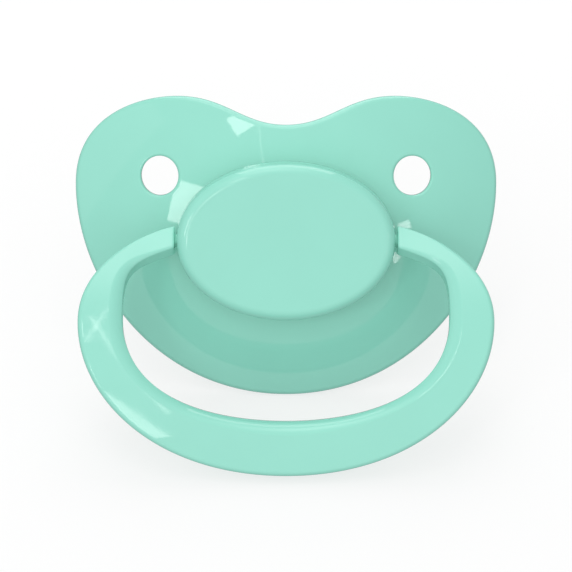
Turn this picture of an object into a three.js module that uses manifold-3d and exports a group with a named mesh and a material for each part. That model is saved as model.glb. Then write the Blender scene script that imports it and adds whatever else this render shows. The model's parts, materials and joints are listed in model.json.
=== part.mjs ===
// Pacifier with a curved shield, an oval button and a free-swinging ring handle.
// Product frame, in millimetres: X runs along the ring's pivot axis, Y from the button to the teat,
// and Z up the shield. The pivot axis is the origin until the whole object is laid on the floor.
import * as THREE from 'three';
import { mergeVertices } from 'three/addons/utils/BufferGeometryUtils.js';
import Module from 'manifold-3d';

const wasm = await Module();
wasm.setup();

const CLEARANCE = 0.25;        // between neighbouring pieces
const SLIVER = 0.003;          // edges shorter than this are merged after a cut

// Shield: a spherical shell with a rounded rim, cut to the outline of a wide bean.
const SHIELD = {
  radius: 75,                  // of the front surface
  crown: 2.9,                  // front surface behind the pivot axis
  thickness: 2,
  notch: 17.9, lobe: [17.3, 22.4], widest: [34, 8.4], bottom: -25.6,
};
const VENT = { x: 20.1, z: 9.8, half: [3, 3.12], edge: 0.45 };   // its axis points `aim` behind the crown
const COLLAR = { radius: 11.6, length: 2.5, fillet: 1.2 };   // on the back, around the teat
const SEAT = { radius: 9.5, floor: 4.9 };                    // recess in the front for the flange
const NECK_HOLE = 7.3;

// Button: an oval cap over a base plate that carries the ring's bearings.
const CAP = { a: 17.35, above: 12.3, below: 12.7, face: -2.7, fillet: 1.6, draft: 0.25, wall: 1.5, roof: 1.3 };
const BASE = { a: 15.2, b: 10.3, front: 1.4, bore: 3.9 };
const BEARING = { inner: 12.2, outer: 14.5, half: 2.2 };
const PIN = { radius: 1, tip: 12.7 };
const PIN_PLAY = 0.1;

// Ring handle: a D-shaped band, bowed towards the front about an axis parallel to the pivot.
const RING = {
  bow: 60,                     // radius of the bowed mid-surface
  reach: 36.5,                 // along the bow, pivot to the middle of the bottom bar
  end: 17.45,                  // |x| of the square ends
  outer: { start: -1.9, widest: [32.1, 13.6], bottom: 37.2 },
  inner: { start: 1.9, widest: [25.3, 12.6], bottom: 29 },
  thickness: [3, 4],           // at the ends, and from the sides down
  edge: 0.75, innerEdge: [1.1, 2],
};

// Teat: hollow silicone, clamped by its flange; half-sizes of the sections along Y.
const TEAT = {
  flange: 9.2, flangeFront: 3.95, flangeBack: 4.65, wall: 1.6, neck: 7,
  bead: [9.6, 8.1],            // Y and radius where the neck stretches over the plug
  sections: [                  // Y, half width, height above and below the axis
    [15, 6.7, 6.6, 6.6], [20, 7.2, 6.6, 6.4], [25, 8.6, 6.9, 6.1], [30, 10.2, 7.5, 5.9], [36, 11.2, 7.8, 5.7],
  ],
  shoulder: 36, tip: 47, rows: 22,
};
const PLUG = { stem: 3.5, barb: 4.2, flange: 8.8, sleeve: 5.2, bead: 6.3, end: 12.5 };

const COLOUR = { mint: 0x9de2d0, ring: 0xa2e6d4, hub: 0xf2f4f3, silicone: 0xe9ede8 };

// ---- meshes -----------------------------------------------------------------------------------

// A closed skin through equal-length rows of points, with a pole or a flat cap at each end.
function skin(rows) {
  const count = rows[0].length;
  const positions = [];
  const index = [];
  for (const row of rows) for (const p of row) positions.push(p.x, p.y, p.z);
  for (let r = 0; r + 1 < rows.length; r++) {
    for (let i = 0; i < count; i++) {
      const a = r * count + i;
      const b = r * count + (i + 1) % count;
      index.push(a, b, a + count, b, b + count, a + count);
    }
  }
  const close = (r, flip) => {
    const centre = rows[r].reduce((sum, p) => sum.add(p), new THREE.Vector3()).divideScalar(count);
    const hub = positions.push(centre.x, centre.y, centre.z) / 3 - 1;
    for (let i = 0; i < count; i++) {
      const pair = [r * count + i, r * count + (i + 1) % count];
      index.push(hub, ...(flip ? pair.reverse() : pair));
    }
  };
  close(0, true);
  close(rows.length - 1, false);
  const geometry = new THREE.BufferGeometry();
  geometry.setAttribute('position', new THREE.Float32BufferAttribute(positions, 3));
  geometry.setIndex(index);
  return geometry;
}

// One oval row around the Y axis; `below` is the half-height under the axis.
function oval(y, halfWidth, above, below = above, count = 56) {
  return Array.from({ length: count }, (_, i) => {
    const t = (2 * Math.PI * i) / count;
    const height = Math.sin(t) > 0 ? above : below;
    return new THREE.Vector3(halfWidth * Math.cos(t), y, -height * Math.sin(t));
  });
}

// A turned piece about the Y axis, from [radius, y] pairs.
function turned(profile, segments = 48) {
  return new THREE.LatheGeometry(profile.map(([r, y]) => new THREE.Vector2(r, y)), segments);
}

// A pin along X, from its tip to x1.
function pin(radius, tip, x1) {
  const chamfer = 0.3;
  const profile = [[0, tip], [radius - chamfer, tip], [radius, tip + chamfer], [radius, x1], [0, x1]];
  return turned(profile, 28).rotateZ(-Math.PI / 2);
}

function box(x0, x1, y0, y1, z0, z1) {
  return new THREE.BoxGeometry(x1 - x0, y1 - y0, z1 - z0)
    .translate((x0 + x1) / 2, (y0 + y1) / 2, (z0 + z1) / 2);
}

function solid(geometry) {
  const bare = geometry.clone();
  bare.deleteAttribute('normal');
  bare.deleteAttribute('uv');
  const merged = mergeVertices(bare, 1e-4);
  const mesh = new wasm.Mesh({
    numProp: 3,
    vertProperties: Float32Array.from(merged.attributes.position.array),
    triVerts: Uint32Array.from(merged.index.array),
  });
  mesh.merge();
  return new wasm.Manifold(mesh);
}

function geometryOf(manifold) {
  const mesh = manifold.getMesh();
  const geometry = new THREE.BufferGeometry();
  geometry.setAttribute('position', new THREE.BufferAttribute(mesh.vertProperties, 3));
  geometry.setIndex(new THREE.BufferAttribute(mesh.triVerts, 1));
  return geometry;
}

const mirrored = (geometry) => [geometry, geometry.clone().rotateY(Math.PI)];

function combine(body, { add = [], cut = [] }) {
  let result = solid(body);
  for (const geometry of add) result = result.add(solid(geometry));
  for (const geometry of cut) result = result.subtract(solid(geometry));
  return geometryOf(result.simplify(SLIVER));
}

// ---- shield -----------------------------------------------------------------------------------

const sphereY = (x, z, radius) =>
  SHIELD.crown + SHIELD.radius - Math.sqrt(radius ** 2 - x ** 2 - z ** 2);

function shieldOutline() {
  const [lobeX, lobeZ] = SHIELD.lobe;
  const [wideX, wideZ] = SHIELD.widest;
  const v = (x, z) => new THREE.Vector2(x, z);
  const half = [
    new THREE.CubicBezierCurve(v(0, SHIELD.notch), v(7, SHIELD.notch), v(lobeX - 7.8, lobeZ), v(lobeX, lobeZ)),
    new THREE.CubicBezierCurve(v(lobeX, lobeZ), v(lobeX + 6.5, lobeZ), v(wideX, wideZ + 10.7), v(wideX, wideZ)),
    new THREE.CubicBezierCurve(v(wideX, wideZ), v(wideX, wideZ - 16), v(21, SHIELD.bottom), v(0, SHIELD.bottom)),
  ].flatMap((curve, i) => curve.getSpacedPoints([9, 14, 21][i]).slice(i ? 1 : 0));
  const left = half.slice(1, -1).reverse().map((p) => v(-p.x, p.y));
  return [...half, ...left];
}

// The outline moved inwards along its own normals.
function inset(outline, distance) {
  return outline.map((p, i) => {
    const before = outline.at(i - 1);
    const after = outline[(i + 1) % outline.length];
    const along = after.clone().sub(before).normalize();
    return new THREE.Vector2(p.x + along.y * distance, p.y - along.x * distance);
  });
}

function shieldShell() {
  const outline = shieldOutline();
  const round = SHIELD.thickness / 2;
  const middle = SHIELD.radius - round;
  const row = (points, scale, offset) => points.map(({ x, y: z }) => {
    const out = new THREE.Vector3(x * scale, 0, z * scale);
    const y = sphereY(out.x, out.z, middle);
    const normal = new THREE.Vector3(out.x, y - SHIELD.crown - SHIELD.radius, out.z).normalize();
    return out.setY(y).addScaledVector(normal, offset);
  });
  const flat = inset(outline, round);
  const grid = [0.16, 0.4, 0.62, 0.82];
  const rim = [0, 45, 90, 135, 180].map((degrees) => {
    const angle = THREE.MathUtils.degToRad(degrees);
    return row(inset(outline, round * (1 - Math.sin(angle))), 1, round * Math.cos(angle));
  });
  return skin([
    ...grid.map((scale) => row(flat, scale, round)),
    ...rim,
    ...grid.toReversed().map((scale) => row(flat, scale, -round)),
  ]);
}

// A through cutter for one vent, along Y. Its mouths follow both faces and flare, for rounded edges.
function ventCutter() {
  const [a, b] = VENT.half;
  const { edge } = VENT;
  // Around the bore, this much wider than it, and `out` in front of the sphere of this radius.
  const row = (wider, radius, out) => oval(0, a + wider, b + wider, b + wider, 40).map(({ x, z }) => {
    const at = new THREE.Vector3(x + VENT.x, 0, z + VENT.z);
    return at.setY(sphereY(at.x, at.z, radius) - out);
  });
  const mouth = (radius, sign) => [
    row(edge + 0.6, radius, sign * 0.3),
    ...[30, 60, 90].map((degrees) => {
      const angle = THREE.MathUtils.degToRad(degrees);
      return row(edge * (1 - Math.sin(angle)), radius, -sign * edge * (1 - Math.cos(angle)));
    }),
  ];
  return skin([...mouth(SHIELD.radius, 1), ...mouth(SHIELD.radius - SHIELD.thickness, -1).reverse()]);
}

function shieldGeometry() {
  const back = SHIELD.crown + SHIELD.thickness;
  const end = back + COLLAR.length;
  const collar = turned([
    [0, back - 1], [COLLAR.radius + 0.6, back - 1], [COLLAR.radius + 0.6, back + 0.75],
    [COLLAR.radius, back + 1.3], [COLLAR.radius, end - COLLAR.fillet],
    [COLLAR.radius - 0.35, end - 0.35], [COLLAR.radius - COLLAR.fillet, end], [0, end],
  ]);
  const seat = turned([[0, SHIELD.crown - 2], [SEAT.radius, SHIELD.crown - 2], [SEAT.radius, SEAT.floor],
    [0, SEAT.floor]]);
  const hole = turned([[0, SHIELD.crown], [NECK_HOLE, SHIELD.crown], [NECK_HOLE, end - 0.5],
    [NECK_HOLE + 0.5, end], [NECK_HOLE + 0.5, end + 1], [0, end + 1]]);
  const vent = ventCutter();
  const otherVent = vent.clone().scale(-1, 1, 1);
  otherVent.setIndex(Array.from(vent.index.array).reverse());
  return combine(shieldShell(), { add: [collar], cut: [seat, hole, vent, otherVent] });
}

// A block with the shield's front surface, grown by the clearance, to trim what stands on it.
function shieldFrontCutter() {
  const radius = SHIELD.radius + CLEARANCE;
  const reach = 22;
  const dome = Array.from({ length: 16 }, (_, i) => {
    const r = (reach * i) / 15;
    return [r, sphereY(r, 0, radius)];
  });
  return turned([...dome, [reach, 12], [0, 12]], 72);
}

// ---- button -----------------------------------------------------------------------------------

function capGeometry() {
  const { a, above, below, face, fillet, draft, wall, roof } = CAP;
  const rim = 8;
  const row = (y, inward) => oval(y, a - inward, above - inward, below - inward);
  const dome = [90, 72, 54, 36, 18, 0].map((degrees) => {
    const angle = THREE.MathUtils.degToRad(degrees);
    return row(face + fillet * (1 - Math.sin(angle)), draft + fillet * (1 - Math.cos(angle)));
  });
  const inner = face + roof;
  const shell = skin([
    oval(face, 5, 4), ...dome, row(rim, 0),
    row(rim, wall), row(inner + 0.6, wall + 0.2), row(inner, wall + 0.8), oval(inner, 4, 3),
  ]);
  // Ribs that close the bearings from above, and the slots that drop over the pins.
  const rib = box(BEARING.inner, a - wall + 0.1, inner - 0.3, -0.15, -BEARING.half, BEARING.half);
  const groove = pin(PIN.radius + PIN_PLAY, BEARING.inner - 1, a - 1);
  const slot = pin(PIN.radius + CLEARANCE, a - wall - 1, a + 1);
  const throat = box(a - wall - 1, a + 1, 0, rim + 1, -PIN.radius - CLEARANCE, PIN.radius + CLEARANCE);
  return combine(shell, {
    add: mirrored(rib),
    cut: [...mirrored(groove), ...mirrored(slot), ...mirrored(throat), shieldFrontCutter()],
  });
}

function baseGeometry() {
  const { a, b, front, bore } = BASE;
  const plate = skin([oval(front, 6, 5), oval(front, a - 0.3, b - 0.3), oval(front + 0.3, a, b),
    oval(6, a, b), oval(6, 6, 5)]);
  const block = box(BEARING.inner, BEARING.outer, 0.1, front + 0.4, -BEARING.half, BEARING.half);
  const cradle = pin(PIN.radius + PIN_PLAY, BEARING.inner - 1, a + 1);
  const underside = SHIELD.crown - CLEARANCE;
  const hole = turned([[0, 0], [bore, 0], [bore, underside], [SEAT.radius, underside], [SEAT.radius, 7],
    [0, 7]]);
  return combine(plate, { add: mirrored(block), cut: [...mirrored(cradle), hole, shieldFrontCutter()] });
}

// ---- ring handle ------------------------------------------------------------------------------

// From arc length down the bow and height above its mid-surface to the product frame.
function bowed(x, s, h) {
  const start = RING.reach / (2 * RING.bow);
  const angle = start - s / RING.bow;
  const radius = RING.bow + h;
  return new THREE.Vector3(
    x,
    RING.bow * Math.cos(start) - radius * Math.cos(angle),
    radius * Math.sin(angle) - RING.bow * Math.sin(start),
  );
}

function halfContour({ start, widest, bottom }, handles) {
  const v = (x, s) => new THREE.Vector2(x, s);
  const [wideX, wideS] = widest;
  const [out, outSlope, up, down, across] = handles;
  return [
    new THREE.CubicBezierCurve(v(RING.end, start), v(RING.end + out, start + out * outSlope),
      v(wideX, wideS - up), v(wideX, wideS)),
    new THREE.CubicBezierCurve(v(wideX, wideS), v(wideX, wideS + down), v(across, bottom), v(0, bottom)),
  ].flatMap((curve, i) => curve.getPoints([18, 24][i]).slice(i ? 1 : 0));
}

function ringBand() {
  const outer = halfContour(RING.outer, [4.6, 0.22, 9.1, 12.2, 19.6]);
  const inner = halfContour(RING.inner, [7, 0.36, 7.4, 14.4, 8.2]);
  const arc = (radius, from, segments) => Array.from({ length: segments + 1 }, (_, i) => {
    const angle = THREE.MathUtils.degToRad(from - (90 * i) / segments);
    return [radius * Math.cos(angle), radius * Math.sin(angle)];
  });
  const section = (o, i, swell) => {
    const width = o.distanceTo(i);
    const half = THREE.MathUtils.lerp(...RING.thickness, swell) / 2;
    const soft = THREE.MathUtils.lerp(...RING.innerEdge, swell);
    const { edge } = RING;
    const points = [
      ...arc(soft, 90, 5).map(([d, h]) => [width - soft + d, half - soft + h]),
      ...arc(edge, 0, 3).map(([d, h]) => [width - edge + d, h - half + edge]),
      ...arc(edge, -90, 3).map(([d, h]) => [edge + d, h - half + edge]),
      ...arc(edge, 180, 3).map(([d, h]) => [edge + d, half - edge + h]),
    ];
    return points.map(([d, h]) => {
      const at = o.clone().lerp(i, d / width);
      return bowed(at.x, at.y, h);
    });
  };
  const half = outer.map((o, i) => section(o, inner[i], THREE.MathUtils.smoothstep(i, 0, 18)));
  const left = half.slice(0, -1).map((row) => row.map((p) => new THREE.Vector3(-p.x, p.y, p.z)));
  return skin([...half, ...left.toReversed()]);
}

function ringGeometry() {
  return combine(ringBand(), { add: mirrored(pin(PIN.radius, PIN.tip, RING.end + 0.4)) });
}

// ---- teat and its plug ------------------------------------------------------------------------

function teatGeometry() {
  const { flange, flangeFront, flangeBack, wall, neck, bead, sections, shoulder, tip } = TEAT;
  const [beadY, beadRadius] = bead;
  const round = (y, r) => [y, r, r, r];
  const stations = [
    round(flangeBack + 0.5, neck), round(7.2, neck), round(8.2, neck + 0.5), round(beadY, beadRadius),
    round(beadY + 1.6, beadRadius - 0.4), round(13, 7), ...sections,
  ];
  const spline = (column) => new THREE.CatmullRomCurve3(
    stations.map((station) => new THREE.Vector3(station[0], station[column], 0)), false, 'centripetal');
  const splines = [1, 2, 3].map(spline);
  const body = (skinDepth) => {
    const rows = Array.from({ length: TEAT.rows + 1 }, (_, i) => {
      const points = splines.map((curve) => curve.getPoint(i / TEAT.rows));
      return [points[0].x, ...points.map((p) => p.y)];
    });
    const [, wide, above, under] = rows.at(-1);
    for (let degrees = 12; degrees < 90; degrees += 12) {
      const angle = THREE.MathUtils.degToRad(degrees);
      const shrink = Math.cos(angle);
      const y = shoulder + (tip - shoulder) * Math.sin(angle);
      rows.push([y, wide * shrink, above * shrink, under * shrink]);
    }
    return rows.map(([y, w, up, down]) => {
      const end = (tip - skinDepth - shoulder) / (tip - shoulder);
      const at = y > shoulder ? shoulder + (y - shoulder) * end : y;
      return oval(at, ...[w, up, down].map((size) => size * (1 - skinDepth / Math.min(wide, above))), 40);
    });
  };
  const bore = neck - wall;
  return skin([
    ...body(wall).toReversed(), oval(flangeFront, bore, bore, bore, 40),
    oval(flangeFront, flange, flange, flange, 40), oval(flangeBack, flange, flange, flange, 40),
    oval(flangeBack, neck + 0.2, neck + 0.2, neck + 0.2, 40), ...body(0),
  ]);
}

function plugGeometry() {
  const { stem, barb, flange, sleeve, bead, end } = PLUG;
  const top = BASE.front;
  const body = turned([
    [0, 3], [stem - 1, 3], [stem - 1, 0.2], [stem - 0.1, 0.2], [barb, 0.9], [barb, top - 0.2], [stem, top - 0.2],
    [stem, 2.95], [flange, 2.95], [flange, 3.7], [sleeve, 3.7], [sleeve, 7.8], [bead, 9.2], [bead, 10],
    [sleeve, 11.4], [sleeve - 0.3, end], [sleeve - 1.3, end], [sleeve - 1.3, 4.1], [0, 4.1],
  ]);
  const slots = [0, Math.PI / 2].map((turn) => box(-5, 5, -1, 2.6, -0.4, 0.4).rotateY(turn));
  return combine(body, { cut: slots });
}

// ---- resting pose -----------------------------------------------------------------------------

// Lowest point of a piece once its frame is leaned back by `angle` about the pivot axis.
function lowest(geometry, angle) {
  const { array } = geometry.attributes.position;
  let low = Infinity;
  for (let i = 0; i < array.length; i += 3) {
    low = Math.min(low, array[i + 2] * Math.cos(angle) - array[i + 1] * Math.sin(angle));
  }
  return low;
}

function solve(difference, from, to) {
  for (let i = 0; i < 40; i++) {
    const middle = (from + to) / 2;
    if (difference(from) * difference(middle) > 0) from = middle;
    else to = middle;
  }
  return from;
}

function piece(name, geometry, color, roughness, metalness = 0) {
  const mesh = new THREE.Mesh(geometry, new THREE.MeshStandardMaterial({ color, roughness, metalness }));
  mesh.name = name;
  return mesh;
}

const shield = piece('shield', shieldGeometry(), COLOUR.mint, 0.22);
const teat = piece('teat', teatGeometry(), COLOUR.silicone, 0.35);
const ring = piece('ring_handle', ringGeometry(), COLOUR.ring, 0.2);

// The shield's lower edge and the teat's tip share the floor, and the ring drops forward onto it.
const { degToRad } = THREE.MathUtils;
const lean = solve((angle) => lowest(shield.geometry, angle) - lowest(teat.geometry, angle),
  degToRad(15), degToRad(55));
const floor = lowest(shield.geometry, lean);
const swing = solve((angle) => lowest(ring.geometry, lean + angle) - floor, degToRad(0), degToRad(45));
ring.rotation.x = -swing;

const pacifier = new THREE.Group();
pacifier.add(
  shield,
  piece('button_base', baseGeometry(), COLOUR.hub, 0.4),
  piece('button_cap', capGeometry(), COLOUR.mint, 0.18),
  ring,
  teat,
  piece('teat_plug', plugGeometry(), COLOUR.hub, 0.4),
);
pacifier.rotation.x = -lean;
pacifier.updateMatrixWorld(true);
const extent = new THREE.Box3().setFromObject(pacifier, true);
pacifier.position.set(0, -(extent.min.y + extent.max.y) / 2, -extent.min.z);

export default pacifier;
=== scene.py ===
"""Pacifier lying on a pale floor: curved shield, oval button, swinging ring handle and silicone teat.

Shapes are worked out in the product frame, in millimetres: X along the ring's pivot axis, Y from the
button to the teat, Z up the shield, with the pivot axis at the origin. TO_ROW lays them on the floor.
"""
import json
import math

import bpy
import numpy as np
from mathutils import Matrix, Vector
from mathutils.geometry import delaunay_2d_cdt


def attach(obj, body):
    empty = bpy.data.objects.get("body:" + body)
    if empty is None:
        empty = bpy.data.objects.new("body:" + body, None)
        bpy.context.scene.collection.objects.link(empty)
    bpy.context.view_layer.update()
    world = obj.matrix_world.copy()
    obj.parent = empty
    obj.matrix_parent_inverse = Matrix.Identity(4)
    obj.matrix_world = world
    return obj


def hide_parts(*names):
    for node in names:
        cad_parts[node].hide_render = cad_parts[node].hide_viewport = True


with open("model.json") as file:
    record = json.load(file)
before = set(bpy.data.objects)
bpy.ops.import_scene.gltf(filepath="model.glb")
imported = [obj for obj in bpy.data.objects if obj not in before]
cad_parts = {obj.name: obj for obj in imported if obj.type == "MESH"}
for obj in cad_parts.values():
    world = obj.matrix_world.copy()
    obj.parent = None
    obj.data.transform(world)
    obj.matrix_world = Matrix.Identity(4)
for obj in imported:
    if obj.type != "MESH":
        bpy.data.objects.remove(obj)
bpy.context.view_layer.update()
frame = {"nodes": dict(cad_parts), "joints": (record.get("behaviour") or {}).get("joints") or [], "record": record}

PIVOT = Vector(frame["joints"][0]["pos_m"])
FACE_AXIS = Vector(frame["record"]["mounts"][0]["axis"])
LEAN = math.atan2(FACE_AXIS.z, -FACE_AXIS.y)
MILLIMETRE = 0.001
TO_ROW = Matrix.Translation(PIVOT) @ Matrix.Rotation(-LEAN, 4, "X") @ Matrix.Scale(MILLIMETRE, 4)

# Shield, in millimetres: a spherical shell whose front crosses the Y axis at CROWN.
RADIUS, CROWN, THICK = 75.0, 2.9, 2.0
CENTRE_Y = CROWN + RADIUS
NOTCH, BOTTOM = 17.9, -25.6
LOBE, WIDEST = (17.3, 22.4), (34.0, 8.4)
# Handle lengths of the outline's curves, from the notch round to the bottom.
NOTCH_OUT, LOBE_IN, LOBE_OUT, WIDEST_UP, WIDEST_DOWN, BOTTOM_OUT = 7, 7.8, 6.5, 10.7, 16, 21
VENT_X, VENT_Z, VENT_A, VENT_B, VENT_EDGE = 20.1, 9.8, 3.0, 3.12, 0.45
SEAT_R, SEAT_FLOOR, NECK_HOLE_R = 9.5, 4.9, 7.3
SEAT_EDGE, SEAT_CORNER, NECK_MOUTH = 0.3, 0.2, 0.5
COLLAR_R, COLLAR_END, COLLAR_ROUND, COLLAR_FILLET = 11.6, 7.4, 0.8, 0.6
# Spacing of the points inside its front and back surfaces.
GRID = 1.3
# Button.
CAP_A, CAP_ABOVE, CAP_BELOW = 17.35, 12.3, 12.7
CAP_FACE, CAP_FILLET, CAP_DRAFT, CAP_WALL, CAP_ROOF = -2.7, 1.6, 0.25, 1.5, 1.3
CAP_EDGE, GAP, RIM_GAP = 0.18, 0.25, 0.06
SLOT_DEPTH, SLOT_OVERRUN = 9.0, 1.5
# Rounded corner inside, between the wall and the roof: inset from the wall and distance from the roof.
CAP_INSIDE = ((0, 0.9), (0.2, 0.3), (0.8, 0))
PIN_R, PIN_TIP = 1.0, 12.7
# Ring: its mid-surface is bowed to this radius over this reach, and its arms end square at RING_END.
BOW, REACH, RING_END = 60.0, 36.5, 17.45
RING_STEPS = (48, 64)
RING_OUTER = {"start": -1.9, "widest": (32.1, 13.6), "bottom": 37.2,
              "out": 4.6, "slope": 0.22, "up": 9.1, "down": 12.2, "across": 19.6}
RING_INNER = {"start": 1.9, "widest": (25.3, 12.6), "bottom": 29,
              "out": 7, "slope": 0.36, "up": 7.4, "down": 14.4, "across": 8.2}
# Section of the ring, each pair from the square end to the widest point.
RING_THICK, RING_SOFT, RING_EDGE = (3.0, 4.0), (0.4, 2.0), (0.45, 0.75)
# The wide inner edge leaves the face at a crease, turns by this much at the sides and at the bottom,
# and meets the wall in a tight corner.
CREASE, TURN_SIDES, TURN_BOTTOM, TIGHT = 9, 42, 81, 0.3
# Where that turn starts to change and over how much, as shares of the way from the widest point down.
TURN_FROM, TURN_OVER = 0.2, 0.7
RING_END_BEVEL = 0.25
# Distance of the points that keep a flat face flat from the corners beside it.
SUPPORT = 0.12
# Teat.
TEAT_WALL, TEAT_NECK, TEAT_WAIST, TEAT_SHOULDER, TEAT_TIP = 1.6, 7.0, 15, 36.0, 47.0
FLANGE_R, FLANGE_FRONT, FLANGE_BACK, FLANGE_EDGE, FLANGE_ROOT = 9.2, 3.95, 4.65, 0.2, 7.2
# Distance along Y, half width, height above and height below the middle.
TEAT_STATIONS = np.array([
    (5.15, 7, 7, 7), (7.2, 7, 7, 7), (8.2, 7.5, 7.5, 7.5), (9.6, 8.1, 8.1, 8.1), (11.2, 7.7, 7.7, 7.7),
    (13, 7, 7, 7), (TEAT_WAIST, 6.7, 6.6, 6.6), (20, 7.2, 6.6, 6.4), (25, 8.6, 6.9, 6.1),
    (30, 10.2, 7.5, 5.9), (TEAT_SHOULDER, 11.2, 7.8, 5.7)])


# ---- mesh helpers -----------------------------------------------------------------------------

def make(name, verts, faces, body, slot, replaces, normals=None, matrix=TO_ROW):
    """A mesh piece from product-frame millimetres, riding on a body."""
    mesh = bpy.data.meshes.new(name)
    placed = [matrix @ Vector(v) for v in verts]
    mesh.from_pydata(placed, [], faces)
    mesh.update()
    mesh.shade_smooth()
    if normals is not None:
        turn = matrix.to_3x3().normalized()
        mesh.normals_split_custom_set_from_vertices([(turn @ Vector(n)).normalized() for n in normals])
    obj = bpy.data.objects.new(name, mesh)
    bpy.context.scene.collection.objects.link(obj)
    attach(obj, body)
    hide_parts(replaces)
    return obj


def band(first, second, count):
    """Quads between two closed rows that start at these vertex numbers."""
    return [(first + i, first + (i + 1) % count, second + (i + 1) % count, second + i) for i in range(count)]


def skin(rows):
    """Vertices and faces of a closed skin through rows of equal length, each end closed by a fan."""
    count = len(rows[0])
    verts = [tuple(p) for row in rows for p in row]
    faces = [f for r in range(len(rows) - 1) for f in band(r * count, (r + 1) * count, count)]
    for r, flip in ((0, True), (len(rows) - 1, False)):
        hub = len(verts)
        verts.append(tuple(np.mean(rows[r], axis=0)))
        for i in range(count):
            a, b = r * count + i, r * count + (i + 1) % count
            faces.append((hub, b, a) if flip else (hub, a, b))
    return verts, faces


def bezier(p0, p1, p2, p3, steps):
    """Points of a cubic curve."""
    t = np.linspace(0, 1, steps + 1)[:, None]
    p0, p1, p2, p3 = (np.array(p, float) for p in (p0, p1, p2, p3))
    return (1 - t) ** 3 * p0 + 3 * (1 - t) ** 2 * t * p1 + 3 * (1 - t) * t ** 2 * p2 + t ** 3 * p3


def even(points, count):
    """The polyline resampled at even spacing."""
    length = np.concatenate([[0], np.cumsum(np.linalg.norm(np.diff(points, axis=0), axis=1))])
    at = np.linspace(0, length[-1], count)
    return np.stack([np.interp(at, length, points[:, k]) for k in range(points.shape[1])], axis=1)


def full_turn(count):
    """Evenly spaced angles once round."""
    return np.linspace(0, 2 * math.pi, count, endpoint=False)


def oval(y, a, above, below, count):
    """A closed row at this Y: half width a, with its own height above and below the middle."""
    t = full_turn(count)
    height = np.where(np.sin(t) > 0, below, above)
    return np.stack([a * np.cos(t), np.full(count, float(y)), -height * np.sin(t)], axis=1)


def circle(radius, y, count):
    """A closed round row at this Y."""
    return oval(y, radius, radius, radius, count)


def ease(t):
    """0 to 1, flat at both ends."""
    t = min(max(t, 0), 1)
    return t * t * (3 - 2 * t)


def between(pair, share):
    """The value this share of the way through a pair."""
    return pair[0] + (pair[1] - pair[0]) * share


# ---- shield -----------------------------------------------------------------------------------

def shield_outline(count):
    """Closed outline, clockwise seen from the button side, from the notch."""
    lx, lz = LOBE
    wx, wz = WIDEST
    half = np.vstack([
        bezier((0, NOTCH), (NOTCH_OUT, NOTCH), (lx - LOBE_IN, lz), (lx, lz), 80),
        bezier((lx, lz), (lx + LOBE_OUT, lz), (wx, wz + WIDEST_UP), (wx, wz), 80)[1:],
        bezier((wx, wz), (wx, wz - WIDEST_DOWN), (BOTTOM_OUT, BOTTOM), (0, BOTTOM), 120)[1:],
    ])
    half = even(half, count // 2 + 1)
    left = half[-2:0:-1] * (-1, 1)
    return np.vstack([half, left])


def sphere_y(squares, radius):
    """Y of the shield's sphere of this radius, where x * x + z * z is this."""
    return CENTRE_Y - np.sqrt(radius ** 2 - squares)


def lift(xz, radius):
    """Points of the shield's sphere of this radius, and their normals towards the front."""
    x, z = xz[:, 0], xz[:, 1]
    points = np.stack([x, sphere_y(x ** 2 + z ** 2, radius), z], axis=1)
    normals = (points - (0, CENTRE_Y, 0)) / radius
    return points, normals


def inside(points, polygon):
    """Even-odd test of many points against a closed polygon."""
    x, y = points[:, 0], points[:, 1]
    hit = np.zeros(len(points), bool)
    for (x0, y0), (x1, y1) in zip(polygon, np.roll(polygon, -1, axis=0)):
        if y0 != y1:
            crosses = ((y0 > y) != (y1 > y)) & (x < (x1 - x0) * (y - y0) / (y1 - y0) + x0)
            hit ^= crosses
    return hit


def distance(points, polygon):
    """Distance of each point to the nearest polygon corner."""
    return np.min(np.linalg.norm(points[:, None] - polygon[None], axis=2), axis=1)


def fill(outer, holes, spacing):
    """Inner points on an even grid, and triangles between an outer loop, its holes and those points."""
    low, high = outer.min(0), outer.max(0)
    rows = np.arange(low[1], high[1], spacing * math.sqrt(3) / 2)
    grid = np.array([(x + (i % 2) * spacing / 2, z) for i, z in enumerate(rows)
                     for x in np.arange(-math.ceil(high[0]), high[0], spacing)])
    keep = inside(grid, outer) & (distance(grid, outer) > spacing * 0.6)
    for hole in holes:
        keep &= ~inside(grid, hole) & (distance(grid, hole) > spacing * 0.5)
    loops = [outer, *holes]
    points = np.vstack([*loops, grid[keep]])
    edges, start = [], 0
    for loop in loops:
        edges += [(start + i, start + (i + 1) % len(loop)) for i in range(len(loop))]
        start += len(loop)
    result = delaunay_2d_cdt([Vector(p) for p in points], edges, [], 0, 1e-6)
    assert len(result[0]) == len(points)
    back = [origin[0] for origin in result[3]]
    faces = np.array([[back[v] for v in f] for f in result[2]])
    middle = points[faces].mean(axis=1)
    keep = inside(middle, outer)
    for hole in holes:
        keep &= ~inside(middle, hole)
    return points[start:], faces[keep]


def rounded(centre, radius, start, stop, count, hollow=False):
    """Part of a turned profile round a centre: rows of radius, Y and the normal along each."""
    sign = -1 if hollow else 1
    return [(centre[0] + radius * math.cos(a), centre[1] + radius * math.sin(a),
             sign * math.cos(a), sign * math.sin(a)) for a in np.linspace(start, stop, count)]


class Shell:
    """Rows and fills that share vertices, each vertex with its own normal."""

    def __init__(self):
        self.verts, self.normals, self.faces = [], [], []

    def row(self, points, normals):
        """Adds a row, and returns the number of its first vertex."""
        start = len(self.verts)
        self.verts += [tuple(p) for p in points]
        self.normals += [tuple(n) for n in normals]
        return start

    def bands(self, rows, count, flip=False):
        """Adds rows with quads between them, and returns where the first and last row start."""
        starts = [self.row(p, n) for p, n in rows]
        for a, b in zip(starts, starts[1:]):
            faces = band(a, b, count)
            self.faces += [f[::-1] for f in faces] if flip else faces
        return starts[0], starts[-1]


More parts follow.
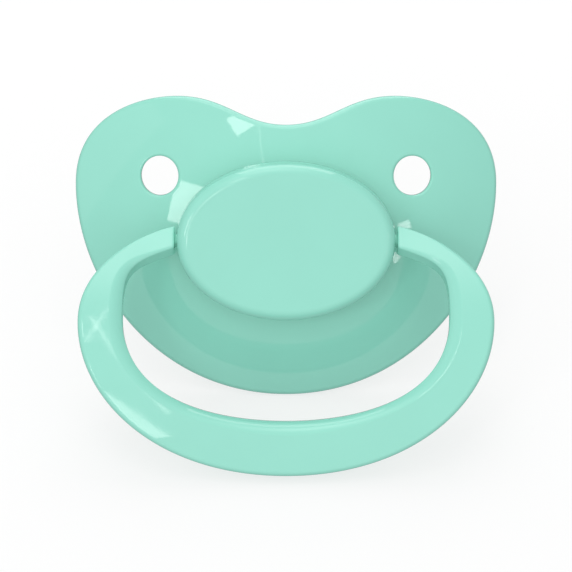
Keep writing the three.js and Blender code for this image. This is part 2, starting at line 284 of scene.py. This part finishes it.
def shield_piece():
    shell = Shell()
    quarter, half_turn = math.pi / 2, math.pi

    # Rounded rim all round.
    count = 360
    outline = shield_outline(count)
    tangent = np.roll(outline, -1, axis=0) - np.roll(outline, 1, axis=0)
    tangent /= np.linalg.norm(tangent, axis=1)[:, None]
    outward = np.stack([-tangent[:, 1], tangent[:, 0]], axis=1)
    rim_r = THICK / 2
    middle, normal = lift(outline - outward * rim_r, RADIUS - rim_r)
    side = np.stack([outward[:, 0], np.zeros(count), outward[:, 1]], axis=1)
    side -= normal * np.sum(side * normal, axis=1)[:, None]
    side /= np.linalg.norm(side, axis=1)[:, None]
    rim = []
    for angle in np.linspace(0, half_turn, 17):
        direction = normal * math.cos(angle) + side * math.sin(angle)
        rim.append((middle + direction * rim_r, direction))
    rim_front, rim_back = shell.bands(rim, count)

    # Vents along Y, with rounded mouths that follow both faces.
    vent_rows = []
    vent_count = 72
    t = full_turn(vent_count)
    radial = np.stack([VENT_B * np.cos(t), np.zeros(vent_count), -VENT_A * np.sin(t)], axis=1)
    radial /= np.linalg.norm(radial, axis=1)[:, None]
    for side_x in (VENT_X, -VENT_X):
        rows = []
        for sphere, front in ((RADIUS, 1), (RADIUS - THICK, -1)):
            mouth = []
            for angle in np.linspace(0, quarter, 8):
                grow = VENT_EDGE * (1 - math.sin(angle))
                x, z = side_x + (VENT_A + grow) * np.cos(t), VENT_Z - (VENT_B + grow) * np.sin(t)
                points, facing = lift(np.stack([x, z], axis=1), sphere)
                points[:, 1] += front * VENT_EDGE * (1 - math.cos(angle))
                mouth.append((points, front * facing * math.cos(angle) - radial * math.sin(angle)))
            rows += mouth if front > 0 else mouth[::-1]
        vent_rows.append(shell.bands(rows, vent_count, flip=True))

    # Seat, neck hole and collar, turned about Y.
    seat_count = 128
    unit = circle(1, 0, seat_count)
    mouth_r, foot_r = SEAT_R + SEAT_EDGE, COLLAR_R + COLLAR_FILLET
    mouth_y, foot_y = sphere_y(mouth_r ** 2, RADIUS), sphere_y(foot_r ** 2, RADIUS - THICK)
    profile = [
        (mouth_r, mouth_y, mouth_r / RADIUS, -1),
        *rounded((mouth_r, mouth_y + SEAT_EDGE), SEAT_EDGE, 3 * quarter - 0.4, half_turn, 4),
        (SEAT_R, SEAT_FLOOR - SEAT_CORNER, -1, 0), (SEAT_R - SEAT_CORNER, SEAT_FLOOR, 0, -1),
        *rounded((NECK_HOLE_R + SEAT_EDGE, SEAT_FLOOR + SEAT_EDGE), SEAT_EDGE, 3 * quarter, half_turn, 5),
        *rounded((NECK_HOLE_R + NECK_MOUTH, COLLAR_END - NECK_MOUTH), NECK_MOUTH, half_turn, quarter, 6),
        *rounded((COLLAR_R - COLLAR_ROUND, COLLAR_END - COLLAR_ROUND), COLLAR_ROUND, quarter, 0, 9),
        *rounded((foot_r, foot_y + COLLAR_FILLET), COLLAR_FILLET, half_turn, 3 * quarter, 8, hollow=True),
    ]
    turned = [(unit * r + (0, y, 0), unit * nr + (0, ny, 0)) for r, y, nr, ny in profile]
    seat_front, seat_back = shell.bands(turned, seat_count, flip=True)

    # Front and back surfaces between those loops.
    for radius, rim_start, end, seat_start, flip in ((RADIUS, rim_front, 0, seat_front, False),
                                                     (RADIUS - THICK, rim_back, 1, seat_back, True)):
        starts = [(rim_start, count), *((rows[end], vent_count) for rows in vent_rows),
                  (seat_start, seat_count)]
        loops = [np.array([(shell.verts[s + i][0], shell.verts[s + i][2]) for i in range(n)])
                 for s, n in starts]
        inner, faces = fill(loops[0], loops[1:], GRID)
        points, normals = lift(inner, radius)
        first = shell.row(points, -normals if flip else normals)
        index = [s + i for s, n in starts for i in range(n)] + list(range(first, first + len(points)))
        for face in faces:
            corners = [index[v] for v in face]
            a, b, c = (np.array(shell.verts[v]) for v in corners)
            to_front = np.cross(b - a, c - a)[1] < 0
            shell.faces.append(tuple(corners if to_front != flip else corners[::-1]))
    return make("shield_shell", shell.verts, shell.faces, "pacifier_body", "mint_plastic", "shield",
                normals=shell.normals)


# ---- button -----------------------------------------------------------------------------------

def cut(obj, verts, faces):
    """Cuts a closed solid, in product-frame millimetres, out of obj."""
    mesh = bpy.data.meshes.new("slot_cutter")
    mesh.from_pydata([TO_ROW @ Vector(v) for v in verts], [], faces)
    cutter = bpy.data.objects.new("slot_cutter", mesh)
    bpy.context.scene.collection.objects.link(cutter)
    modifier = obj.modifiers.new("cut", "BOOLEAN")
    modifier.object, modifier.operation, modifier.solver = cutter, "DIFFERENCE", "EXACT"
    bpy.context.view_layer.update()
    result = bpy.data.meshes.new_from_object(obj.evaluated_get(bpy.context.evaluated_depsgraph_get()))
    obj.modifiers.clear()
    obj.data = result
    bpy.data.objects.remove(cutter)


def cap_piece():
    count = 256

    def row(inset, y=0.0, scale=1.0):
        return oval(y, *(scale * (size - inset) for size in (CAP_A, CAP_ABOVE, CAP_BELOW)), count)

    def rim(inset, rise=0.0):
        """A row just clear of the shield's front, or this far in front of that."""
        on = row(inset)
        on[:, 1] = sphere_y(on[:, 0] ** 2 + on[:, 2] ** 2, RADIUS + RIM_GAP) - rise
        return on

    # From the middle of the face out over its rounded edge, round the wall's foot, and back inside.
    rows = [row(CAP_DRAFT + CAP_FILLET, CAP_FACE, scale) for scale in (0.3, 0.7, 0.95, 0.99)]
    for a in np.linspace(math.pi / 2, 0, 21):
        inset, y = CAP_DRAFT + CAP_FILLET * (1 - math.cos(a)), CAP_FACE + CAP_FILLET * (1 - math.sin(a))
        rows.append(row(inset, y))
    rows += [rim(0, 1.2), rim(0, CAP_EDGE), rim(CAP_EDGE), rim(CAP_WALL - CAP_EDGE), rim(CAP_WALL, CAP_EDGE)]
    inner = CAP_FACE + CAP_ROOF
    rows += [row(CAP_WALL + inset, inner + rise) for inset, rise in CAP_INSIDE]
    rows.append(row(CAP_WALL, inner, 0.4))
    cap = make("button_cover", *skin(rows), "pacifier_body", "mint_plastic", "button_cap")

    # Slots in the wall for the ring's pins, open towards the shield.
    half = PIN_R + GAP
    profile = [(half * math.cos(a), -half * math.sin(a)) for a in np.linspace(0, math.pi, 25)]
    profile += [(-half, SLOT_DEPTH), (half, SLOT_DEPTH)]
    for sign in (1, -1):
        x0, x1 = sorted((sign * (CAP_A - CAP_WALL - SLOT_OVERRUN), sign * (CAP_A + SLOT_OVERRUN)))
        cut(cap, *skin([[(x, y, z) for z, y in profile] for x in (x1, x0)]))
    return cap


# ---- ring -------------------------------------------------------------------------------------

def bowed(x, s, h):
    """From arc length s down the bow and height h in front of its mid-surface to the product frame."""
    start = REACH / (2 * BOW)
    angle = start - s / BOW
    return np.array([x, BOW * math.cos(start) - (BOW + h) * math.cos(angle),
                     (BOW + h) * math.sin(angle) - BOW * math.sin(start)])


def ring_contour(start, widest, bottom, out, slope, up, down, across):
    """One edge of the ring as (x, s) points, from its square end round to the middle of the bottom."""
    wx, ws = widest
    leaving = (RING_END + out, start + out * slope)
    return np.vstack([
        bezier((RING_END, start), leaving, (wx, ws - up), (wx, ws), RING_STEPS[0]),
        bezier((wx, ws), (wx, ws + down), (across, bottom), (0, bottom), RING_STEPS[1])[1:],
    ])


def ring_section(o, i, swell, turn, shrink=0.0):
    """Closed section between an outer and an inner edge point, as rows of (x, s, h)."""
    width = float(np.linalg.norm(i - o))
    half, soft, edge = between(RING_THICK, swell) / 2, between(RING_SOFT, swell), between(RING_EDGE, swell)
    # The wide front edge on the inside bends through this turn from a slight crease to a small corner.
    crease, bend = math.radians(CREASE), math.radians(turn)
    wide = (soft - TIGHT * (1 - math.sin(bend))) / (math.sin(bend) - math.sin(crease))
    wide_d, wide_h = width - TIGHT - (wide - TIGHT) * math.sin(bend), half - wide * math.cos(crease)
    tight_h = wide_h + (wide - TIGHT) * math.cos(bend)
    # Radius, centre and angles of each rounded corner.
    arcs = ((wide, wide_d, wide_h, np.linspace(90 - CREASE, 90 - turn, 11)),
            (TIGHT, width - TIGHT, tight_h, np.linspace(90 - turn, 0, 6)[1:]),
            (edge, width - edge, edge - half, np.linspace(0, -90, 9)),
            (edge, edge, edge - half, np.linspace(-90, -180, 9)),
            (edge, edge, half - edge, np.linspace(180, 90, 9)))
    points = [(cx + radius * math.cos(a), cy + radius * math.sin(a))
              for radius, cx, cy, angles in arcs for a in np.radians(angles)]
    # Support points keep the flats flat: after every arc but the first, which runs into the next.
    supported = []
    ends = np.cumsum([len(angles) for *_, angles in arcs]) - 1
    for k, p in enumerate(points):
        supported.append(p)
        if k in ends[1:]:
            q = points[(k + 1) % len(points)]
            near = min(SUPPORT / math.dist(p, q), 0.25)
            supported += [(between((p[0], q[0]), f), between((p[1], q[1]), f)) for f in (near, 0.5, 1 - near)]
    out = []
    for d, h in supported:
        d = shrink + d * (width - 2 * shrink) / width
        h *= (half - shrink) / half
        x, s = o + (i - o) * d / width
        out.append((x, s, h))
    return np.array(out)


def ring_piece():
    outer, inner = ring_contour(**RING_OUTER), ring_contour(**RING_INNER)
    flat = []
    for k in range(len(outer)):
        down = (k - RING_STEPS[0]) / RING_STEPS[1]
        turn = between((TURN_SIDES, TURN_BOTTOM), ease((down - TURN_FROM) / TURN_OVER))
        flat.append(ring_section(outer[k], inner[k], ease(k / RING_STEPS[0]), turn))
    # The pin, from its rounded tip to the fillet at its root, then the bevel of the square end.
    around = np.arctan2(flat[0][:, 2], flat[0][:, 1])
    ring_of = np.stack([np.zeros(len(around)), np.cos(around), np.sin(around)], axis=1)
    pin = [ring_of * (PIN_R + grow) + (x, 0, 0) for x, grow in (
        (PIN_TIP, -0.55), (PIN_TIP, -0.35), (PIN_TIP + 0.1, -0.12), (PIN_TIP + 0.35, 0),
        (PIN_TIP + 0.6, 0), (RING_END - 0.6, 0), (RING_END - 0.25, 0), (RING_END - 0.08, 0.08),
        (RING_END, 0.25), (RING_END, 0.3))]
    bevel = []
    for angle in np.linspace(0, math.pi / 2, 5)[:-1]:
        section = ring_section(outer[0], inner[0], 0, TURN_SIDES, RING_END_BEVEL * (1 - math.sin(angle)))
        bevel.append(section + (RING_END_BEVEL * (1 - math.cos(angle)), 0, 0))
    right = pin + bevel + flat[1:]
    left = [row * (-1, 1, 1) for row in right[:-1]]
    verts, faces = skin([np.array([bowed(*p) for p in row]) for row in right + left[::-1]])
    verts = np.array(verts)

    # At rest the ring has swung forward just enough to lie on the floor, not below it.
    def lowest(swing):
        angle = LEAN + swing
        heights = verts[:, 2] * math.cos(angle) - verts[:, 1] * math.sin(angle)
        return float(np.min(heights)) + PIVOT.z / MILLIMETRE

    low, high = 0.0, math.radians(45)
    for _ in range(40):
        middle = (low + high) / 2
        if lowest(middle) < 0:
            low = middle
        else:
            high = middle
    matrix = TO_ROW @ Matrix.Rotation(-low, 4, "X")
    return make("ring_handle_band", verts, faces, "ring", "mint_plastic", "ring_handle", matrix=matrix)


# ---- teat -------------------------------------------------------------------------------------

def smooth_columns(stations, ys):
    """Cubic interpolation of each column at these Y values."""
    x, table = stations[:, 0], stations[:, 1:]
    slopes = np.gradient(table, x, axis=0)
    out = []
    for y in ys:
        k = int(np.clip(np.searchsorted(x, y) - 1, 0, len(x) - 2))
        h = x[k + 1] - x[k]
        t = (y - x[k]) / h
        value = ((2 * t ** 3 - 3 * t ** 2 + 1) * table[k] + (t ** 3 - 2 * t ** 2 + t) * h * slopes[k]
                 + (-2 * t ** 3 + 3 * t ** 2) * table[k + 1] + (t ** 3 - t ** 2) * h * slopes[k + 1])
        out.append((y, *value))
    return out


def teat_piece():
    count = 96
    ys = np.concatenate([np.linspace(TEAT_STATIONS[0, 0], TEAT_WAIST, 28),
                         np.linspace(TEAT_WAIST, TEAT_SHOULDER, 36)[1:]])
    profile = smooth_columns(TEAT_STATIONS, ys)
    _, width, up, down = profile[-1]
    length = TEAT_TIP - TEAT_SHOULDER
    for angle in np.radians(np.linspace(0, 88, 28))[1:]:
        shrink = math.cos(angle)
        profile.append((TEAT_SHOULDER + length * math.sin(angle), width * shrink, up * shrink, down * shrink))

    def body(depth):
        """Rows of the teat's skin, this far inside its outer surface."""
        rows, scale = [], 1 - depth / TEAT_NECK
        for y, *sizes in profile:
            if y > TEAT_SHOULDER:
                y = TEAT_SHOULDER + (y - TEAT_SHOULDER) * ((length - depth) / length)
            rows.append(oval(y, *(size * scale for size in sizes), count))
        return rows

    flange = [circle(radius, y, count) for radius, y in (
        (TEAT_NECK - TEAT_WALL, FLANGE_FRONT), (FLANGE_R - FLANGE_EDGE, FLANGE_FRONT),
        (FLANGE_R, FLANGE_FRONT + FLANGE_EDGE), (FLANGE_R, FLANGE_BACK - FLANGE_EDGE),
        (FLANGE_R - FLANGE_EDGE, FLANGE_BACK), (FLANGE_ROOT, FLANGE_BACK))]
    verts, faces = skin(body(TEAT_WALL)[::-1] + flange + body(0))
    return make("teat_nipple", verts, faces, "pacifier_body", "silicone", "teat")


# ---- materials --------------------------------------------------------------------------------

def noise(tree, scale, detail, stretch=None):
    """Noise over object coordinates; features are about 1 / scale metres across."""
    nodes, links = tree.nodes, tree.links
    source = nodes.new("ShaderNodeTexCoord").outputs["Object"]
    if stretch:
        mapping = nodes.new("ShaderNodeMapping")
        mapping.inputs["Scale"].default_value = stretch
        links.new(source, mapping.inputs["Vector"])
        source = mapping.outputs["Vector"]
    node = nodes.new("ShaderNodeTexNoise")
    node.inputs["Scale"].default_value = scale
    node.inputs["Detail"].default_value = detail
    links.new(source, node.inputs["Vector"])
    return node.outputs["Fac"]


def spread(tree, factor, low, high):
    """The middle of a noise's range mapped to low..high."""
    node = tree.nodes.new("ShaderNodeMapRange")
    node.inputs["From Min"].default_value = 0.3
    node.inputs["From Max"].default_value = 0.7
    node.inputs["To Min"].default_value = low
    node.inputs["To Max"].default_value = high
    tree.links.new(factor, node.inputs["Value"])
    return node.outputs["Result"]


PIGMENT_SCALE, GLOSS_SCALE, WAVE_SCALE, GRAIN_SCALE = 90, 240, 260, 5200


def moulded(name, colour, gloss, drift, waviness, grain):
    """Moulded material: pigment drift, uneven gloss, slow waviness and a fine grain, heights in metres."""
    material = bpy.data.materials.new(name)
    material.use_nodes = True
    tree = material.node_tree
    nodes, links = tree.nodes, tree.links
    shader = nodes["Principled BSDF"]
    mix = nodes.new("ShaderNodeMix")
    mix.data_type = "RGBA"
    mix.inputs["A"].default_value = (*[c * (1 - drift) for c in colour], 1)
    mix.inputs["B"].default_value = (*[min(c * (1 + drift), 1) for c in colour], 1)
    links.new(spread(tree, noise(tree, PIGMENT_SCALE, 3), 0, 1), mix.inputs["Factor"])
    links.new(mix.outputs["Result"], shader.inputs["Base Color"])
    links.new(spread(tree, noise(tree, GLOSS_SCALE, 4, (1, 1, 0.35)), *gloss), shader.inputs["Roughness"])
    normal = None
    for height, scale, detail in ((waviness, WAVE_SCALE, 1), (grain, GRAIN_SCALE, 2)):
        bump = nodes.new("ShaderNodeBump")
        bump.inputs["Strength"].default_value = 1
        bump.inputs["Distance"].default_value = height
        links.new(noise(tree, scale, detail), bump.inputs["Height"])
        if normal is not None:
            links.new(normal, bump.inputs["Normal"])
        normal = bump.outputs["Normal"]
    links.new(normal, shader.inputs["Normal"])
    return material, shader


def srgb(r, g, b):
    """Linear colour of 8-bit sRGB values."""
    return [((c / 255 + 0.055) / 1.055) ** 2.4 if c > 10 else c / 255 / 12.92 for c in (r, g, b)]


PLASTIC_IOR, SILICONE_IOR = 1.49, 1.41
MINT, mint_shader = moulded("mint_gloss", srgb(145, 216, 198), gloss=(0.025, 0.045), drift=0.012,
                            waviness=1.5e-6, grain=6e-8)
mint_shader.inputs["IOR"].default_value = PLASTIC_IOR
INNER, inner_shader = moulded("inner_satin", (0.84, 0.86, 0.85), gloss=(0.38, 0.46), drift=0.02,
                              waviness=4e-6, grain=4e-6)
inner_shader.inputs["IOR"].default_value = PLASTIC_IOR
SILICONE, silicone_shader = moulded("silicone", (0.96, 0.97, 0.96), gloss=(0.32, 0.38), drift=0.01,
                                    waviness=3e-6, grain=5e-7)
silicone_shader.inputs["IOR"].default_value = SILICONE_IOR
silicone_shader.inputs["Transmission Weight"].default_value = 0.7
silicone_shader.inputs["Coat Weight"].default_value = 0.4
silicone_shader.inputs["Coat Roughness"].default_value = 0.12

looks = [(shield_piece(), MINT), (cap_piece(), MINT), (ring_piece(), MINT), (teat_piece(), SILICONE)]
looks += [(frame["nodes"][node], INNER) for node in ("button_base", "teat_plug")]
for obj, material in looks:
    obj.data.materials.clear()
    obj.data.materials.append(material)

# ---- stage and light --------------------------------------------------------------------------

FLOOR_HALF = 3
floor_mesh = bpy.data.meshes.new("floor")
floor_corners = [(x * FLOOR_HALF, y * FLOOR_HALF, 0) for x, y in ((-1, -1), (1, -1), (1, 1), (-1, 1))]
floor_mesh.from_pydata(floor_corners, [], [(0, 1, 2, 3)])
floor = bpy.data.objects.new("floor", floor_mesh)
bpy.context.scene.collection.objects.link(floor)
# The bright floor is seen and shadowed, but doesn't light the object's underside.
floor.visible_diffuse = floor.visible_glossy = False
floor_material = bpy.data.materials.new("floor_white")
floor_material.use_nodes = True
floor_shader = floor_material.node_tree.nodes["Principled BSDF"]
floor_shader.inputs["Base Color"].default_value = (0.22, 0.22, 0.22, 1)
floor_shader.inputs["Roughness"].default_value = 0.9
floor_shader.inputs["Emission Color"].default_value = (1, 1, 1, 1)
floor_shader.inputs["Emission Strength"].default_value = 0.72
floor_mesh.materials.append(floor_material)


def dome(tree, base, lobes):
    """Background strength: base plus a sum of weight * max(0, direction along an axis) ** sharpness."""
    nodes, links = tree.nodes, tree.links
    direction = nodes.new("ShaderNodeTexCoord")
    total = None
    for axis, weight, sharpness in lobes:
        along = nodes.new("ShaderNodeVectorMath")
        along.operation = "DOT_PRODUCT"
        along.inputs[1].default_value = Vector(axis).normalized()
        links.new(direction.outputs["Generated"], along.inputs[0])
        lit = nodes.new("ShaderNodeMath")
        lit.operation = "MAXIMUM"
        lit.inputs[1].default_value = 0
        links.new(along.outputs["Value"], lit.inputs[0])
        power = nodes.new("ShaderNodeMath")
        power.operation = "POWER"
        power.inputs[1].default_value = sharpness
        links.new(lit.outputs[0], power.inputs[0])
        weigh = nodes.new("ShaderNodeMath")
        weigh.operation = "MULTIPLY_ADD"
        weigh.inputs[1].default_value = weight
        links.new(power.outputs[0], weigh.inputs[0])
        if total is None:
            weigh.inputs[2].default_value = base
        else:
            links.new(total, weigh.inputs[2])
        total = weigh.outputs[0]
    nodes["Background"].inputs["Color"].default_value = (1, 1, 1, 1)
    links.new(total, nodes["Background"].inputs["Strength"])


world = bpy.data.worlds.new("studio")
bpy.context.scene.world = world
world.use_nodes = True
# A broad lobe from the front and a sharp one from overhead.
dome(world.node_tree, 0.46, [((-0.05, -1, 0.45), 0.84, 2), ((-0.1, 0, 1), 2.5, 26)])


def area(name, location, target, size, power):
    """A rectangular light aimed at a point, unseen by the camera."""
    light = bpy.data.lights.new(name, "AREA")
    light.shape, light.size, light.size_y, light.energy = "RECTANGLE", size[0], size[1], power
    obj = bpy.data.objects.new(name, light)
    bpy.context.scene.collection.objects.link(obj)
    obj.location = location
    obj.rotation_mode = "QUATERNION"
    obj.rotation_quaternion = (Vector(target) - Vector(location)).to_track_quat("-Z", "Y")
    obj.visible_camera = False
    return obj


def panel(name, location, width, height, radiance):
    """A bright panel that the gloss mirrors, facing the object."""
    return area(name, location, PIVOT, (width, height), radiance * math.pi * width * height)


CARD_DISTANCE = 0.6


def card(name, azimuth, elevation, width, height, radiance, roll=0.0):
    """A small panel: angles from the object in degrees, left of and above its front."""
    az, el = math.radians(azimuth), math.radians(elevation)
    towards = Vector((-math.sin(az) * math.cos(el), -math.cos(az) * math.cos(el), math.sin(el)))
    light = panel(name, PIVOT + towards * CARD_DISTANCE, width, height, radiance)
    spin = Matrix.Rotation(math.radians(roll), 3, "Z").to_quaternion()
    light.rotation_quaternion = light.rotation_quaternion @ spin


def strip(name, start, end, thickness, radiance):
    """A thin bright line between two points."""
    start, end = Vector(start), Vector(end)
    middle, along = (start + end) / 2, end - start
    light = panel(name, middle, thickness, along.length, radiance)
    long_way = along.normalized()
    side = along.cross((middle - PIVOT).normalized()).normalized()
    light.rotation_quaternion = Matrix((side, long_way, side.cross(long_way))).transposed().to_quaternion()


AIM = (0, 0, 0.02)
area("top_back", (0, 0.7, 0.8), AIM, (0.8, 0.8), 4.2)
area("left", (-0.9, -0.2, 0.6), AIM, (0.7, 0.7), 0.6)
card("card_left", 33, 30, 0.10, 0.12, 6, roll=4)
card("card_high", 22.8, 56, 0.06, 0.06, 6, roll=49)
card("card_right", -37.2, 22.6, 0.036, 0.023, 7)
card("card_right_low", -32.1, 15, 0.024, 0.026, 6, roll=40)
card("card_near", 8.5, 31, 0.03, 0.15, 4.5, roll=15)
strip("strip_long", (-0.0825, -0.273, 0.557), (-0.0486, -0.519, 0.334), 0.0011, 7)
strip("strip_short", (-0.0835, -0.352, 0.512), (-0.0735, -0.232, 0.580), 0.0011, 7)

# ---- camera -----------------------------------------------------------------------------------

DISTANCE, FOCAL_PX, FRAME_PX, SENSOR_MM = 0.350, 2233.0, 572, 36
# The camera looks from a little above the button's axis, with the pivot this far above the frame's middle.
ABOVE_AXIS, PIVOT_RISE_PX = math.radians(5), 45.5
camera = bpy.data.objects.new("camera", bpy.data.cameras.new("camera"))
bpy.context.scene.collection.objects.link(camera)
bpy.context.scene.camera = camera
elevation = LEAN + ABOVE_AXIS
camera.location = PIVOT + Vector((0, -math.cos(elevation), math.sin(elevation))) * DISTANCE
pitch = elevation + math.atan(PIVOT_RISE_PX / FOCAL_PX)
camera.rotation_euler = (math.pi / 2 - pitch, 0, 0)
camera.data.sensor_width = SENSOR_MM
camera.data.lens = SENSOR_MM * FOCAL_PX / FRAME_PX
camera.data.clip_start = 0.01

bpy.context.scene.view_settings.view_transform = "Standard"
